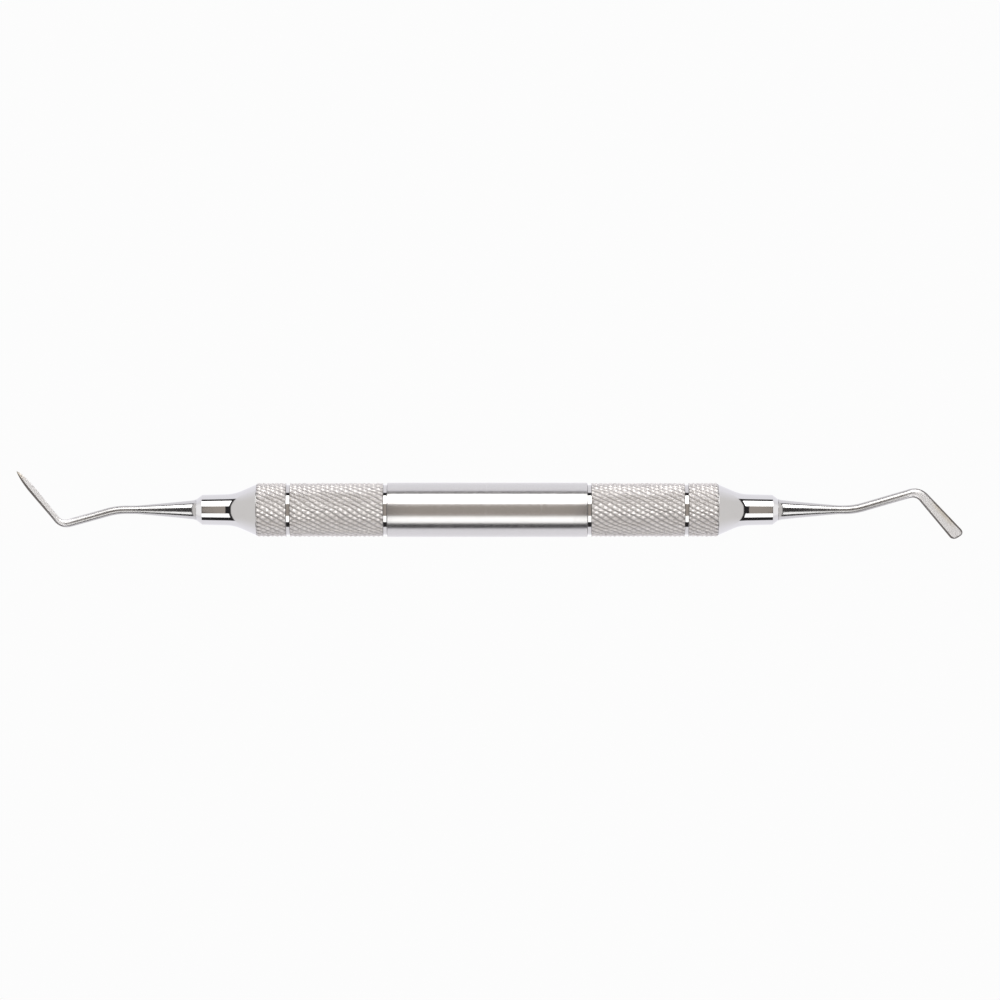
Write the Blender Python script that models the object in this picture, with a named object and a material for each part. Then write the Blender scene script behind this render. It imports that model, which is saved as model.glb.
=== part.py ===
"""Double-ended dental carver with a hollow knurled handle, in metres, +Z up.

The handle lies along X over the origin, with the pointed blade at its +X end and the rounded blade at its
-X end. The carver lies on the plane z = 0 as it comes to rest, on the bare centre of its handle, and the
pointed blade keeps it from rolling on. Each end is built pointing along its own +X, with its origin on the
handle's axis and its bends in its XY plane, and is then placed on the handle. Both working ends are rolled
about that axis.
"""

import math

import bmesh
import bpy
import numpy as np

# Handle tube
HANDLE_DIAMETER = 0.0095
TUBE_LENGTH = 0.0808
TUBE_WALL = 0.00125
END_BEVEL_LENGTH = 0.0004
END_BEVEL_DEPTH = 0.00024

# Diamond knurl: two sets of V grooves, one leaning each way from the axis
KNURL_STARTS = 32
KNURL_ANGLE = math.radians(30)
KNURL_DEPTH = 0.0003
OUTER_BAND_LENGTH = 0.0051
INNER_BAND_LENGTH = 0.0162

# Polished grooves between the bands
GROOVE_WIDTH = 0.0008
GROOVE_DEPTH = 0.00036
GROOVE_WALL_RUN = 0.00008

# Turned noses
NOSE_LENGTH = 0.0106
NOSE_FACE_DIAMETER = 0.00372
NOSE_CHAMFER_LENGTH = 0.001
NOSE_FRONT_DIAMETER = 0.00526
NOSE_BACK_DIAMETER = 0.00554
FLARE_ANGLE = math.radians(23.6)
FLARE_FILLET_RADIUS = 0.0075
SPIGOT_LENGTH = 0.006
SPIGOT_LEAD = 0.0004

# Working ends
TANG_DIAMETER = 0.003
TANG_LENGTH = 0.008
TANG_LEAD = 0.0003
DRILL_POINT_ANGLE = math.radians(118)
SHANK_TAPER_LENGTH = 0.0106
SHANK_TAPER_POWER = 1.1
FIRST_BEND_RADIUS = 0.012
FLATTENING_LEAD = 0.0008
GROUND_EDGE_THICKNESS = 0.00012
LARGEST_BEVEL_SHARE = 0.45

# Working end with the pointed blade. Runs are measured between the corners of the bends.
POINTED_ROOT_DIAMETER = 0.00345
POINTED_SHANK_DIAMETER = 0.00144
POINTED_FIRST_RUN = 0.01395
POINTED_FIRST_BEND = math.radians(15.5)
POINTED_LEG = 0.01003
POINTED_ELBOW_BEND = math.radians(65.6)
POINTED_ELBOW_RADIUS = 0.0021
POINTED_BLADE_LENGTH = 0.0123
POINTED_BLADE_WIDTH = 0.0012
POINTED_ROOT_WIDTH = 0.00106
POINTED_WIDEST_SHARE = 0.62
POINTED_TIP_WIDTH = 0.0001
POINTED_LEAF_POWER = 0.75
POINTED_THINNING_POWER = 0.5
POINTED_ROOT_THICKNESS = 0.00095
POINTED_TIP_THICKNESS = 0.0003
POINTED_EDGE_BEVEL = 0.00038
POINTED_BACK_BEVEL = 0.0001

# Working end with the rounded blade
ROUNDED_ROOT_DIAMETER = 0.00356
ROUNDED_SHANK_DIAMETER = 0.00152
ROUNDED_FIRST_RUN = 0.01325
ROUNDED_FIRST_BEND = math.radians(16.2)
ROUNDED_LEG = 0.0117
ROUNDED_ELBOW_BEND = math.radians(64.4)
ROUNDED_ELBOW_RADIUS = 0.0024
ROUNDED_BLADE_LENGTH = 0.01075
ROUNDED_ROOT_WIDTH = 0.00184
ROUNDED_END_WIDTH = 0.00246
ROUNDED_CORNER_RADIUS = 0.0009
ROUNDED_END_SLANT = math.radians(9)
ROUNDED_SLANT_REACH = 0.0049
ROUNDED_ROOT_THICKNESS = 0.0009
ROUNDED_END_THICKNESS = 0.00045
ROUNDED_EDGE_BEVEL = 0.00024

# Fits
SPIGOT_CLEARANCE = 0.00003
TANG_CLEARANCE = 0.00003
SEAT_GAP = 0.00003
TANG_END_ROOM = 0.0005
REST_CLEARANCE = 0.0002

# Fineness of the faceted surfaces
NOSE_SIDES = 32
FILLET_STEPS = 6
FACE_POINTS = 4
TAPER_STEPS = 7
FIRST_BEND_STEPS = 4
ELBOW_STEPS = 9
POINTED_BLADE_STEPS = 11
ROUNDED_BLADE_STEPS = 4
ROUNDED_CORNER_STEPS = 5
STATION_SPACING = 0.00005
MERGE_DISTANCE = 0.000001
SHARP_ANGLE = math.radians(30)

# Worked out from the sizes above
HANDLE_RADIUS = HANDLE_DIAMETER / 2
TUBE_COLUMNS = 2 * KNURL_STARTS
BORE_RADIUS = HANDLE_RADIUS - TUBE_WALL
BORE_FLAT_RADIUS = BORE_RADIUS * math.cos(math.pi / TUBE_COLUMNS)
SPIGOT_RADIUS = BORE_FLAT_RADIUS - SPIGOT_CLEARANCE
TANG_RADIUS = TANG_DIAMETER / 2
NOSE_HOLE_RADIUS = (TANG_RADIUS + TANG_CLEARANCE) / math.cos(math.pi / NOSE_SIDES)
SHOULDER_RADIUS = HANDLE_RADIUS - END_BEVEL_DEPTH
SECTION_POINTS = 2 * (FACE_POINTS + 4)


def steel(name, colour, roughness):
    """A bare steel of this colour and roughness."""
    material = bpy.data.materials.new(name)
    material.use_nodes = True
    shader = material.node_tree.nodes["Principled BSDF"]
    shader.inputs["Base Color"].default_value = (*colour, 1.0)
    shader.inputs["Roughness"].default_value = roughness
    shader.inputs["Metallic"].default_value = 1.0
    material.diffuse_color = (*colour, 1.0)
    return material


def finished_object(name, mesh_builder, material, axis):
    """A named object from a bmesh, closed and facing out, on the handle's axis."""
    bmesh.ops.recalc_face_normals(mesh_builder, faces=mesh_builder.faces[:])
    mesh = bpy.data.meshes.new(name)
    mesh_builder.to_mesh(mesh)
    mesh_builder.free()
    mesh.materials.append(material)
    mesh.shade_smooth()
    mesh.set_sharp_from_angle(angle=SHARP_ANGLE)
    piece = bpy.data.objects.new(name, mesh)
    bpy.context.scene.collection.objects.link(piece)
    piece.parent = axis
    return piece


def knurl_rings(first_x, last_x, first_index):
    """Rings of one knurled band. Crests sit where ring and column numbers add up to an even number.

    The rows stand half a pitch apart along the axis, and the pitch is fitted to the band's length.
    """
    half_pitch = math.pi * HANDLE_RADIUS / KNURL_STARTS / math.tan(KNURL_ANGLE)
    rows = max(2, round((last_x - first_x) / half_pitch))
    crest = HANDLE_RADIUS
    valley = HANDLE_RADIUS - KNURL_DEPTH
    rings = []
    for row, x in enumerate(np.linspace(first_x, last_x, rows + 1)):
        even_ring = (first_index + row) % 2 == 0
        rings.append((x, crest, valley) if even_ring else (x, valley, crest))
    return rings


def groove_rings(first_x, last_x):
    """The floor of a groove, whose walls lean out to the neighbouring rings."""
    floor = HANDLE_RADIUS - GROOVE_DEPTH
    return [(first_x + GROOVE_WALL_RUN, floor, floor), (last_x - GROOVE_WALL_RUN, floor, floor)]


def tube_rings():
    """The tube's closed section as rings (x, radius at even columns, radius at odd columns).

    The bare centre is a prism with one side for each start, whose sides touch the handle's diameter. So
    its even columns run along the middles of the sides, and the lowest side lies on z = 0.
    """
    half_length = TUBE_LENGTH / 2
    outer_groove = half_length - OUTER_BAND_LENGTH
    inner_band = outer_groove - GROOVE_WIDTH
    inner_groove = inner_band - INNER_BAND_LENGTH
    centre = inner_groove - GROOVE_WIDTH
    corner = HANDLE_RADIUS / math.cos(math.pi / KNURL_STARTS)

    rings = [(-half_length, BORE_RADIUS, BORE_RADIUS), (-half_length, SHOULDER_RADIUS, SHOULDER_RADIUS)]
    rings += knurl_rings(-half_length + END_BEVEL_LENGTH, -outer_groove, len(rings))
    rings += groove_rings(-outer_groove, -inner_band)
    rings += knurl_rings(-inner_band, -inner_groove, len(rings))
    rings += groove_rings(-inner_groove, -centre)
    rings += [(-centre, HANDLE_RADIUS, corner), (centre, HANDLE_RADIUS, corner)]
    rings += groove_rings(centre, inner_groove)
    rings += knurl_rings(inner_groove, inner_band, len(rings))
    rings += groove_rings(inner_band, outer_groove)
    rings += knurl_rings(outer_groove, half_length - END_BEVEL_LENGTH, len(rings))
    rings += [(half_length, SHOULDER_RADIUS, SHOULDER_RADIUS), (half_length, BORE_RADIUS, BORE_RADIUS)]
    return rings


def build_tube(material, axis):
    """The knurled tube. Each cell is split along the line that joins its two valleys."""
    rings = tube_rings()
    builder = bmesh.new()
    grid = []
    for x, even_radius, odd_radius in rings:
        ring = []
        for column in range(TUBE_COLUMNS):
            radius = odd_radius if column % 2 else even_radius
            angle = 2 * math.pi * column / TUBE_COLUMNS - math.pi / 2
            ring.append(builder.verts.new((x, radius * math.cos(angle), radius * math.sin(angle))))
        grid.append(ring)
    for index, ring in enumerate(grid):
        following = grid[(index + 1) % len(grid)]
        for column in range(TUBE_COLUMNS):
            beside = (column + 1) % TUBE_COLUMNS
            near, near_beside = ring[column], ring[beside]
            far, far_beside = following[column], following[beside]
            if (index + column) % 2:
                builder.faces.new((near, near_beside, far_beside))
                builder.faces.new((near, far_beside, far))
            else:
                builder.faces.new((near, near_beside, far))
                builder.faces.new((near_beside, far_beside, far))
    return finished_object("knurled_handle", builder, material, axis)


def fillet_points(corner, before, after, radius, steps):
    """Points of the arc that rounds a corner of a profile, from before's side to after's."""
    corner = np.array(corner)
    back = np.array(before) - corner
    ahead = np.array(after) - corner
    back /= np.linalg.norm(back)
    ahead /= np.linalg.norm(ahead)
    half = math.acos(float(np.clip(back @ ahead, -1, 1))) / 2
    middle = (back + ahead) / np.linalg.norm(back + ahead)
    centre = corner + middle * radius / math.sin(half)
    start = corner + back * radius / math.tan(half) - centre
    end = corner + ahead * radius / math.tan(half) - centre
    sweep = math.pi - 2 * half
    points = []
    for share in np.linspace(0, 1, steps + 1):
        weight_start = math.sin((1 - share) * sweep) / math.sin(sweep)
        weight_end = math.sin(share * sweep) / math.sin(sweep)
        points.append(tuple(centre + start * weight_start + end * weight_end))
    return points


def nose_profile():
    """Half the nose's section as points (x, radius), from the spigot's end to the drilled hole's point.

    x is measured outwards from the end of the tube.
    """
    face = NOSE_LENGTH
    chamfer_back = face - NOSE_CHAMFER_LENGTH
    back_radius = NOSE_BACK_DIAMETER / 2
    flare_run = (SHOULDER_RADIUS - back_radius) / math.tan(FLARE_ANGLE)
    hole_end = face - TANG_LENGTH - TANG_END_ROOM
    drill_point = hole_end - NOSE_HOLE_RADIUS / math.tan(DRILL_POINT_ANGLE / 2)
    front_edge = (chamfer_back, NOSE_FRONT_DIAMETER / 2)
    flare_end = (SEAT_GAP, SHOULDER_RADIUS)
    flare_foot = (SEAT_GAP + flare_run, back_radius)
    return [
        (-SPIGOT_LENGTH, 0),
        (-SPIGOT_LENGTH, SPIGOT_RADIUS - SPIGOT_LEAD),
        (-SPIGOT_LENGTH + SPIGOT_LEAD, SPIGOT_RADIUS),
        (SEAT_GAP, SPIGOT_RADIUS),
        flare_end,
        *fillet_points(flare_foot, flare_end, front_edge, FLARE_FILLET_RADIUS, FILLET_STEPS),
        front_edge,
        (face, NOSE_FACE_DIAMETER / 2),
        (face, NOSE_HOLE_RADIUS),
        (hole_end, NOSE_HOLE_RADIUS),
        (drill_point, 0),
    ]


def build_nose(name, material, axis):
    """A turned nose: its profile spun about the handle's axis."""
    builder = bmesh.new()
    chain = [builder.verts.new((x, 0, radius)) for x, radius in nose_profile()]
    edges = [builder.edges.new(pair) for pair in zip(chain, chain[1:])]
    bmesh.ops.spin(
        builder,
        geom=chain + edges,
        cent=(0, 0, 0),
        axis=(1, 0, 0),
        angle=2 * math.pi,
        steps=NOSE_SIDES,
        use_merge=True,
    )
    bmesh.ops.remove_doubles(builder, verts=builder.verts[:], dist=MERGE_DISTANCE)
    return finished_object(name, builder, material, axis)


def eased(share):
    """0 below 0 and 1 above 1, with a soft start and end between."""
    share = min(max(share, 0.0), 1.0)
    return share * share * (3 - 2 * share)


class BentPath:
    """The centre line of a working end: straight, a soft bend, straight, a tight elbow, straight."""

    def __init__(self, first_run, first_bend, leg, elbow_bend, elbow_radius, blade_length):
        first_trim = FIRST_BEND_RADIUS * math.tan(first_bend / 2)
        elbow_trim = elbow_radius * math.tan(elbow_bend / 2)
        self.parts = [
            (first_run - first_trim, 0.0),
            (FIRST_BEND_RADIUS * first_bend, first_bend),
            (leg - first_trim - elbow_trim, 0.0),
            (elbow_radius * elbow_bend, -elbow_bend),
            (blade_length - elbow_trim, 0.0),
        ]
        self.ends = [0.0]
        for length, _ in self.parts:
            self.ends.append(self.ends[-1] + length)
        self.length = self.ends[-1]
        self.elbow_start = self.ends[3]
        self.blade_start = self.ends[4]

    def at(self, distance):
        """Position (x, y) and heading on the path."""
        x = y = heading = 0.0
        left = distance
        for index, (length, turn) in enumerate(self.parts):
            last = index == len(self.parts) - 1
            step = left if last else min(left, length)
            if turn:
                radius = length / turn
                turned = turn * step / length
                x += radius * (math.sin(heading + turned) - math.sin(heading))
                y -= radius * (math.cos(heading + turned) - math.cos(heading))
                heading += turned
            else:
                x += step * math.cos(heading)
                y += step * math.sin(heading)
            left -= step
            if left <= 0 and not last:
                break
        return x, y, heading

    def stations(self, blade_stations):
        """Distances of the lofted sections: along the taper, in both bends, and those of the blade."""
        candidates = np.concatenate([
            np.linspace(0, SHANK_TAPER_LENGTH, TAPER_STEPS + 1),
            np.linspace(self.ends[1], self.ends[2], FIRST_BEND_STEPS + 1),
            np.linspace(self.elbow_start - FLATTENING_LEAD, self.blade_start, ELBOW_STEPS + 1),
            blade_stations,
        ])
        kept = [0.0]
        for station in sorted(candidates):
            if kept[-1] + STATION_SPACING < station < self.length - STATION_SPACING:
                kept.append(float(station))
        kept.append(self.length)
        return kept


def round_section(radius):
    """A circle with as many points as a blade's section, as pairs (across, through)."""
    angles = (np.arange(SECTION_POINTS) + 0.5) * 2 * math.pi / SECTION_POINTS
    return np.column_stack([np.cos(angles), np.sin(angles)]) * radius


def blade_section(width, thickness, outer_bevel, inner_bevel, outer_edge, inner_edge):
    """A flat bar with bevelled sides. The outer side of the elbow is at +across."""
    room = LARGEST_BEVEL_SHARE * width
    outer_face = width / 2 - min(outer_bevel, room)
    inner_face = -width / 2 + min(inner_bevel, room)
    across = [width / 2, *np.linspace(outer_face, inner_face, FACE_POINTS + 2), -width / 2]
    flat = [thickness / 2] * (FACE_POINTS + 2)
    through = [min(outer_edge, thickness) / 2, *flat, min(inner_edge, thickness) / 2]
    top = np.column_stack([across, through])
    bottom = top[::-1] * (1, -1)
    return np.concatenate([top, bottom])


def shank_radius(distance, root_radius, thin_radius):
    """The shank tapers from its root, nearly as a cone, and then stays thin."""
    left = max(0.0, 1 - distance / SHANK_TAPER_LENGTH)
    return thin_radius + (root_radius - thin_radius) * left ** SHANK_TAPER_POWER


def loft(builder, rings):
    """Quads between rings with the same number of points, and a flat cap on each end."""
    grid = [[builder.verts.new(point) for point in ring] for ring in rings]
    count = len(grid[0])
    for ring, following in zip(grid, grid[1:]):
        for index in range(count):
            beside = (index + 1) % count
            builder.faces.new((ring[index], ring[beside], following[beside], following[index]))
    builder.faces.new(grid[0][::-1])
    builder.faces.new(grid[-1])


def tang_rings():
    """The round tang that sits in the nose, and the shoulder that meets the nose's face."""
    stations = [
        (-TANG_LENGTH, TANG_RADIUS - TANG_LEAD),
        (-TANG_LENGTH + TANG_LEAD, TANG_RADIUS),
        (SEAT_GAP, TANG_RADIUS),
    ]
    rings = []
    for x, radius in stations:
        rings.append([(x, across, through) for across, through in round_section(radius)])
    return rings


def build_tip(name, path, blade_stations, root_radius, thin_radius, section_at, slant_at, material, axis):
    """A working end: tang, tapered shank and ground blade, lofted along its bent centre line.

    section_at and slant_at take the distance along the blade and the distance left to its end. They give
    the blade's section, and how far its outer side leans ahead of its middle.
    """
    round_end = path.elbow_start - FLATTENING_LEAD
    flat_start = path.blade_start + thin_radius
    rings = tang_rings()
    for station in path.stations(blade_stations):
        x, y, heading = path.at(station)
        along = max(0.0, station - path.blade_start)
        left = path.length - station
        flatness = eased((station - round_end) / (flat_start - round_end))
        section = (1 - flatness) * round_section(shank_radius(station, root_radius, thin_radius))
        section = section + flatness * section_at(along, left)
        lean = slant_at(along, left)
        ring = []
        for across, through in section:
            ahead = lean * across
            point_x = x + ahead * math.cos(heading) - across * math.sin(heading)
            point_y = y + ahead * math.sin(heading) + across * math.cos(heading)
            ring.append((point_x + SEAT_GAP, point_y, through))
        rings.append(ring)
    builder = bmesh.new()
    loft(builder, rings)
    return finished_object(name, builder, material, axis)


def pointed_stations(path):
    """Stations of the pointed blade, closer together towards its point."""
    shares = np.sin(np.linspace(0, math.pi / 2, POINTED_BLADE_STEPS + 1))
    return path.blade_start + (path.length - path.blade_start) * shares


def rounded_stations(path):
    """Stations of the rounded blade: even ones along it, then those of its round corners and its edge."""
    corner_start = path.length - ROUNDED_CORNER_RADIUS
    turns = np.linspace(0, math.pi / 2, ROUNDED_CORNER_STEPS + 1)
    return np.concatenate([
        np.linspace(path.blade_start, corner_start, ROUNDED_BLADE_STEPS + 1),
        corner_start + ROUNDED_CORNER_RADIUS * np.sin(turns),
        [path.length - ROUNDED_EDGE_BEVEL],
    ])


def pointed_section(along, left):
    """Leaf-shaped blade: it widens slowly, then narrows in a curve to its point."""
    share = along / (along + left)
    if share < POINTED_WIDEST_SHARE:
        grown = eased(share / POINTED_WIDEST_SHARE)
        width = POINTED_ROOT_WIDTH + (POINTED_BLADE_WIDTH - POINTED_ROOT_WIDTH) * grown
    else:
        past = (share - POINTED_WIDEST_SHARE) / (1 - POINTED_WIDEST_SHARE)
        width = POINTED_BLADE_WIDTH * max(0.0, 1 - past**2) ** POINTED_LEAF_POWER
    width = max(width, POINTED_TIP_WIDTH)
    thickness = POINTED_ROOT_THICKNESS + (POINTED_TIP_THICKNESS - POINTED_ROOT_THICKNESS) * share
    thickness *= min(1.0, width / POINTED_ROOT_WIDTH) ** POINTED_THINNING_POWER
    thickness = max(thickness, GROUND_EDGE_THICKNESS)
    back_edge = max(thickness - POINTED_BACK_BEVEL, GROUND_EDGE_THICKNESS)
    bevel = POINTED_EDGE_BEVEL * width / POINTED_BLADE_WIDTH
    return blade_section(
        width, thickness, bevel, POINTED_BACK_BEVEL, GROUND_EDGE_THICKNESS, back_edge
    )


def rounded_section(along, left):
    """Spatula blade: it widens evenly, and its end has round corners and a ground edge all round."""
    share = along / (along + left)
    width = ROUNDED_ROOT_WIDTH + (ROUNDED_END_WIDTH - ROUNDED_ROOT_WIDTH) * share
    reach = max(0.0, ROUNDED_CORNER_RADIUS - left)
    width -= 2 * (ROUNDED_CORNER_RADIUS - math.sqrt(ROUNDED_CORNER_RADIUS**2 - reach**2))
    thickness = ROUNDED_ROOT_THICKNESS + (ROUNDED_END_THICKNESS - ROUNDED_ROOT_THICKNESS) * share
    ground = min(1.0, left / ROUNDED_EDGE_BEVEL)
    thickness = GROUND_EDGE_THICKNESS + (thickness - GROUND_EDGE_THICKNESS) * ground
    bevel = ROUNDED_EDGE_BEVEL
    return blade_section(width, thickness, bevel, bevel, GROUND_EDGE_THICKNESS, GROUND_EDGE_THICKNESS)


def no_slant(along, left):
    """The pointed blade's sections stand square to its middle line."""
    return 0.0


def rounded_slant(along, left):
    """The rounded blade's end slants, so its last sections lean more and more."""
    return math.tan(ROUNDED_END_SLANT) * eased(1 - left / ROUNDED_SLANT_REACH)


def resting_roll(tip):
    """How far both working ends roll about the handle's axis until this one is just clear of z = 0.

    The blade is on the -Y side and rolls down. Only points that reach further from the axis than the drop
    can get that low, and each does so when the sine of its angle below the axis is the drop over its
    reach. A blade that can't reach hangs straight down.
    """
    drop = HANDLE_RADIUS - REST_CLEARANCE
    points = np.array([vertex.co[:] for vertex in tip.data.vertices])
    reach = np.hypot(points[:, 1], points[:, 2])
    far = reach > drop
    if not far.any():
        return math.pi / 2
    above = np.arctan2(points[far, 2], -points[far, 1])
    return float((np.arcsin(drop / reach[far]) + above).min())


def clear_scene():
    """Removes whatever the scene holds."""
    for old in list(bpy.data.objects):
        bpy.data.objects.remove(old, do_unlink=True)


def main():
    """Builds the handle on its axis, and a nose and a working end at each of its ends."""
    clear_scene()
    axis = bpy.data.objects.new("handle_axis", None)
    axis.location = (0, 0, HANDLE_RADIUS)
    bpy.context.scene.collection.objects.link(axis)
    bends = bpy.data.objects.new("plane_of_bends", None)
    bends.parent = axis
    bpy.context.scene.collection.objects.link(bends)

    satin = steel("satin_steel", (0.60, 0.58, 0.57), 0.35)
    turned = steel("polished_nose_steel", (0.72, 0.71, 0.71), 0.1)
    ground = steel("polished_tip_steel", (0.70, 0.70, 0.69), 0.08)

    build_tube(satin, axis)
    pointed_nose = build_nose("pointed_end_nose", turned, axis)
    rounded_nose = build_nose("rounded_end_nose", turned, axis)

    pointed_path = BentPath(
        POINTED_FIRST_RUN,
        POINTED_FIRST_BEND,
        POINTED_LEG,
        POINTED_ELBOW_BEND,
        POINTED_ELBOW_RADIUS,
        POINTED_BLADE_LENGTH,
    )
    pointed_tip = build_tip(
        "pointed_blade_tip",
        pointed_path,
        pointed_stations(pointed_path),
        POINTED_ROOT_DIAMETER / 2,
        POINTED_SHANK_DIAMETER / 2,
        pointed_section,
        no_slant,
        ground,
        bends,
    )
    rounded_path = BentPath(
        ROUNDED_FIRST_RUN,
        ROUNDED_FIRST_BEND,
        ROUNDED_LEG,
        ROUNDED_ELBOW_BEND,
        ROUNDED_ELBOW_RADIUS,
        ROUNDED_BLADE_LENGTH,
    )
    rounded_tip = build_tip(
        "rounded_blade_tip",
        rounded_path,
        rounded_stations(rounded_path),
        ROUNDED_ROOT_DIAMETER / 2,
        ROUNDED_SHANK_DIAMETER / 2,
        rounded_section,
        rounded_slant,
        ground,
        bends,
    )

    tube_end = TUBE_LENGTH / 2
    for piece, reach in ((pointed_nose, tube_end), (pointed_tip, tube_end + NOSE_LENGTH)):
        piece.location = (reach, 0, 0)
    for piece, reach in ((rounded_nose, tube_end), (rounded_tip, tube_end + NOSE_LENGTH)):
        piece.location = (-reach, 0, 0)
        piece.rotation_euler = (0, 0, math.pi)
    bends.rotation_euler = (resting_roll(pointed_tip), 0, 0)


main()
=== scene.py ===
"""Fine surfaces, finishes, studio and camera of a double-ended dental carver.

Lengths are in metres. The handle lies along X on the floor, z = 0. The pointed blade is at the +X end, and
its point is just clear of the floor.
"""

import logging
import math
from dataclasses import dataclass, field
from enum import Enum
from typing import Any, Optional

import bpy
import numpy as np
from mathutils import Matrix, Vector


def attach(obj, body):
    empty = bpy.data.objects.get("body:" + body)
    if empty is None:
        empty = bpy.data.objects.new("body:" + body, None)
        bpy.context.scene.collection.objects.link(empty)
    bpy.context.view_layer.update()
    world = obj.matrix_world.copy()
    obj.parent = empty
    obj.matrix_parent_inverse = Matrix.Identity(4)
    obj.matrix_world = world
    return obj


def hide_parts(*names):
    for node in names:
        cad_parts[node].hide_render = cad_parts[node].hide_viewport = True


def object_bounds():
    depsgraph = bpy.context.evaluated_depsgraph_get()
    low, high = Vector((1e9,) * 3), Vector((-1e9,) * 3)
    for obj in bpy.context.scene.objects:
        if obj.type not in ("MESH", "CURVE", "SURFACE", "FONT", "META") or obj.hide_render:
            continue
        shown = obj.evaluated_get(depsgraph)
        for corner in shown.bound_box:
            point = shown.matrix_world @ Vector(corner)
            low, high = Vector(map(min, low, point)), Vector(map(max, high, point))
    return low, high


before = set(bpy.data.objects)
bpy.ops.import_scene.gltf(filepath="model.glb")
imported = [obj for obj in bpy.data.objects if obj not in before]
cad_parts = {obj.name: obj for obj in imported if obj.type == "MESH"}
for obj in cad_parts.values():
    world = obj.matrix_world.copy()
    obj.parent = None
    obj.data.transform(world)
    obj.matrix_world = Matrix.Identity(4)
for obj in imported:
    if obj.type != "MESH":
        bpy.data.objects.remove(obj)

CAD_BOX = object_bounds()
FULL_TURN = 2 * math.pi
SHARP_ANGLE = math.radians(30)
SEAT_GAP = 0.00003

Colour = tuple[float, float, float]
Stretch = tuple[float, float, float]
Span = tuple[float, float]
Parts = Optional[dict[Any, Any]]
log = logging.getLogger("dental_carver")


class Slot(Enum):
    """The record's finishes."""

    KNURLED = "knurled_steel"
    NOSE = "nose_steel"
    TIP = "tip_steel"


class End(Enum):
    """The handle's two ends, each with the side of the handle's middle that it is on."""

    POINTED = 1
    ROUNDED = -1


def between(first: Any, second: Any, share: Any) -> Any:
    """The first number where share is 0, the second where it is 1, and evenly between them elsewhere."""
    return first + (second - first) * share


# Shader maths


class Value:
    """A number that changes over a surface. Arithmetic on it adds Math nodes to its tree."""

    def __init__(self, tree: "NodeTree", socket: bpy.types.NodeSocket) -> None:
        """Wraps an output socket of a tree."""
        self.tree = tree
        self.socket = socket

    def math(self, operation: str, *operands: Any) -> "Value":
        """The result of a Math node on these numbers or values."""
        return self.tree.value("ShaderNodeMath", 0, {"operation": operation}, dict(enumerate(operands)))

    def __add__(self, other: Any) -> "Value":
        """This value plus another."""
        return self.math("ADD", self, other)

    __radd__ = __add__

    def __sub__(self, other: Any) -> "Value":
        """This value less another."""
        return self.math("SUBTRACT", self, other)

    def __rsub__(self, other: Any) -> "Value":
        """A number less this value."""
        return self.math("SUBTRACT", other, self)

    def __mul__(self, other: Any) -> "Value":
        """This value times another."""
        return self.math("MULTIPLY", self, other)

    __rmul__ = __mul__

    def absolute(self) -> "Value":
        """This value without its sign."""
        return self.math("ABSOLUTE", self)

    def arcsine(self) -> "Value":
        """The angle whose sine is this value."""
        return self.math("ARCSINE", self)

    def angle_over(self, other: "Value") -> "Value":
        """The angle whose tangent is this value over another."""
        return self.math("ARCTAN2", self, other)

    def at_least(self, lowest: float) -> "Value":
        """This value, or the lowest where it is less."""
        return self.math("MAXIMUM", self, lowest)

    def step(self, start: float, end: float) -> "Value":
        """A soft step of this value: 0 up to start, 1 from end on."""
        inputs = {"Value": self, "From Min": start, "From Max": end}
        return self.tree.value("ShaderNodeMapRange", 0, {"interpolation_type": "SMOOTHSTEP"}, inputs)


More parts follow.
